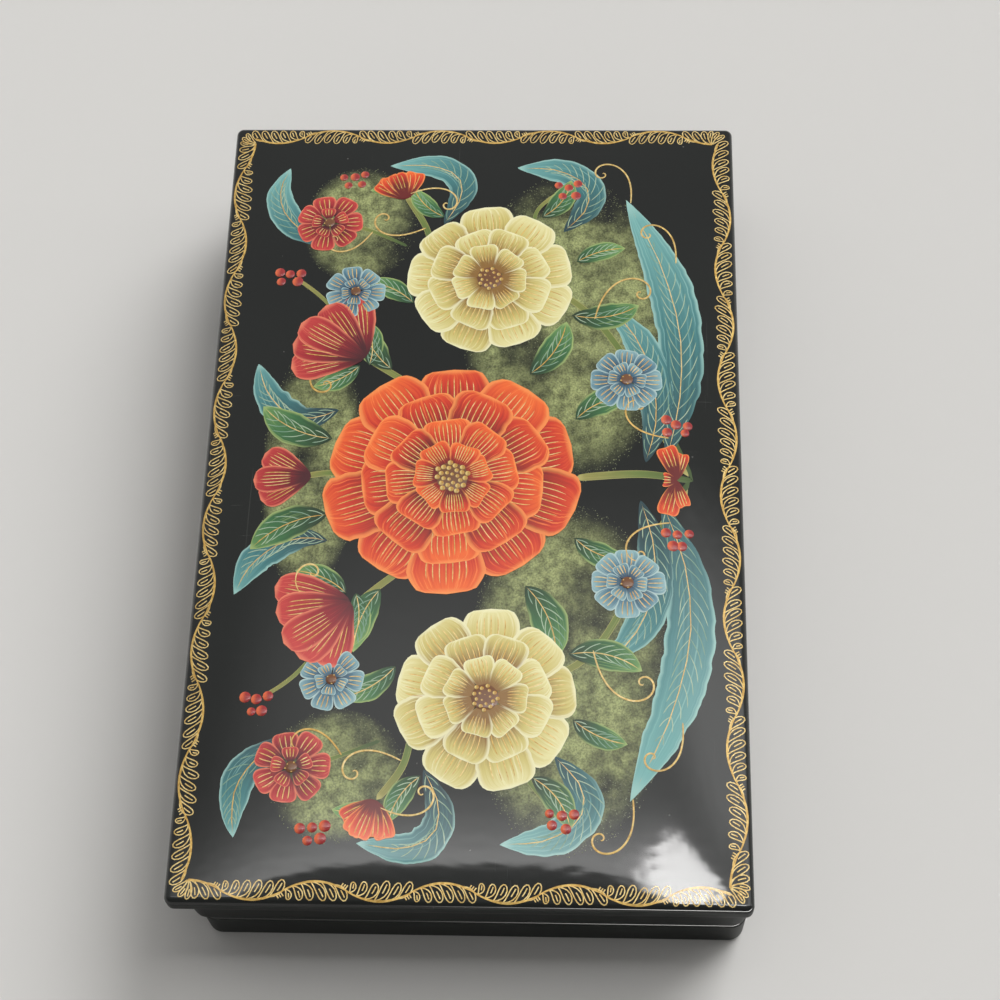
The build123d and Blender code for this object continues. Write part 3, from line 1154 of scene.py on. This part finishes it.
TENDRIL_STEPS = 22
tendrils = []
for x, y, angle, reach, turns, spin in (
    (39, -26, -12, 26, 1.5, -1), (70, -34, -6, 22, 1.5, 1),
    (63, 12, 118, 20, 1.4, -1), (31, 25, 96, 24, 1.5, 1),
    (72, 17, -62, 20, 1.4, -1), (10, -42, 84, 20, 1.4, -1),
    (54, -44, -4, 20, 1.4, 1), (62, 24, 148, 18, 1.4, -1),
):
    for mirror in (1, -1):
        spot_x, spot_y, way = x, y, math.radians(angle)
        points = [(mirror * spot_x, spot_y)]
        for step in range(TENDRIL_STEPS):
            share = (step + 1) / TENDRIL_STEPS
            way += spin * turns * 4 * math.pi * share / (TENDRIL_STEPS + 1)
            pace = reach * 2 * (1.06 - share) / (TENDRIL_STEPS + 1)
            spot_x += pace * math.cos(way)
            spot_y += pace * math.sin(way)
            points.append((mirror * spot_x, spot_y))
        pull(tendrils, points, 0.20, 0.07)
paint_piece("picture_gold_tendrils", tendrils, LINE, gold_paint("tendril_gold"), 60, 6, relief=0.02)

# Floor, light and camera
# A pale floor, a backdrop of its colour, soft light all round and an even key light kept out of the gloss.
# The lacquer mirrors a broad softbox, a small bright window overhead and a light low down at the near end.
# The camera stands where the photograph was taken from.

FLOOR_HALF = 30
FLOOR_COLOUR = (0.66, 0.65, 0.63, 1)
BACKDROP_COLOUR = (0.655, 0.645, 0.620, 1)
LIGHT_COLOUR = (1.0, 0.995, 0.985, 1)
WINDOW_MIDDLE = (0.155, -0.092)
WINDOW_WAY = (0.78, 0.62)
WINDOW_HALF = (0.072, 0.018)
WINDOW_STRENGTH = 16.0
LOW_LIGHT_STRENGTH = 54.0
KEY_STRENGTH = 2.6
KEY_PLACE = Vector((0.75, -0.55, 0.62))
CAMERA_PLACE = (-0.197282, -0.022964, 0.423782)
CAMERA_TILT = math.radians(-25.9476)
CAMERA_ROLL = math.radians(-2.4253)
CAMERA_TWIST = math.radians(-1.5371)
CAMERA_LENS = 75.0097

corners = [(x * FLOOR_HALF, y * FLOOR_HALF, 0) for x, y in ((-1, -1), (1, -1), (1, 1), (-1, 1))]
floor_mesh = bpy.data.meshes.new("floor")
floor_mesh.from_pydata(corners, [], [(0, 1, 2, 3)])
floor = bpy.data.objects.new("floor", floor_mesh)
bpy.context.collection.objects.link(floor)
floor_paint, start = new_finish("floor_pale")
end_finish(start, {"Base Color": FLOOR_COLOUR, "Roughness": 0.8, "Specular IOR Level": 0.1})
floor_mesh.materials.append(floor_paint)

world = bpy.data.worlds.new("studio")
bpy.context.scene.world = world
world.use_nodes = True
world.node_tree.nodes.clear()
start = Socket(world.node_tree)
way_x, way_y, rise = start.node("ShaderNodeTexCoord", None, None, "Generated").axes()
above = rise > 0.0
far_slope = way_x / rise.math("MAXIMUM", 0.001)
side_slope = way_y / rise.math("MAXIMUM", 0.001)

# The softbox has a sharp near edge, is brightest beside it, and fades out to the far end and both sides
near_part = ((0.27 - far_slope) / 0.155).math("MAXIMUM", 0.0)
softbox = 0.9 * (1 - far_slope.ramp(0.36, 0.54)) + 3.4 * near_part * near_part
softbox = softbox * (1 - side_slope.ramp(0.08, 0.44)) * side_slope.ramp(-0.8, -0.45)
softbox = softbox + 1.2 * (1 - side_slope.ramp(-0.26, -0.14)) * (1 - far_slope.ramp(0.42, 0.54))
softbox = softbox * far_slope.ramp(0.109, 0.114)

# The window is a narrow oval, turned a little
window_x = far_slope - WINDOW_MIDDLE[0]
window_y = side_slope - WINDOW_MIDDLE[1]
along = (window_x * WINDOW_WAY[0] - window_y * WINDOW_WAY[1]) / WINDOW_HALF[0]
aside = (window_x * WINDOW_WAY[1] + window_y * WINDOW_WAY[0]) / WINDOW_HALF[1]
window = 1 - (along * along + aside * aside).math("SQRT").ramp(0.75, 1.05)

# The backdrop shows to the camera, and low down in the gloss, where the low light stands before it
ray = start.node("ShaderNodeLightPath", None, None, "Is Camera Ray")
gloss = ray.out("Is Glossy Ray")
low_light = rise.ramp(0.02, 0.05) * (1 - rise.ramp(0.10, 0.16))
low_light = low_light * (1 - way_y.ramp(-0.14, 0.10)) * (1 - way_x.ramp(-0.6, -0.2)) * gloss
level = 0.20 + 0.28 * way_x.ramp(-0.5, 0.3) + above * (softbox + window * WINDOW_STRENGTH)
shown = ray + gloss * (1 - rise.ramp(0.04, 0.34))
level = level + shown * (1 - level) + above * low_light * LOW_LIGHT_STRENGTH
tint = shown.blend(LIGHT_COLOUR, BACKDROP_COLOUR)
light = start.node("ShaderNodeBackground", None, {"Color": tint, "Strength": level})
start.node("ShaderNodeOutputWorld", None, {"Surface": light})

key = bpy.data.lights.new("key", "SUN")
key.angle = math.radians(40)
key.energy = KEY_STRENGTH
key_lamp = bpy.data.objects.new("key", key)
key_lamp.visible_glossy = False
bpy.context.collection.objects.link(key_lamp)
key_aim = KEY_PLACE.to_track_quat("Z", "Y").to_matrix().to_4x4()
key_lamp.matrix_world = Matrix.Translation(KEY_PLACE) @ key_aim

camera = bpy.data.cameras.new("camera")
camera.sensor_width = 36.0
camera.lens = CAMERA_LENS
camera.clip_start = 0.01
eye = bpy.data.objects.new("camera", camera)
bpy.context.collection.objects.link(eye)
look = Matrix.Rotation(CAMERA_TWIST, 4, "Z") @ Matrix.Rotation(CAMERA_TILT, 4, "X")
look = look @ Matrix.Rotation(CAMERA_ROLL, 4, "Y")
quarter = Matrix.Rotation(math.radians(-90), 4, "Z")
eye.matrix_world = Matrix.Translation(CAMERA_PLACE) @ quarter @ look.transposed()
bpy.context.scene.camera = eye
bpy.context.scene.view_settings.view_transform = "Standard"
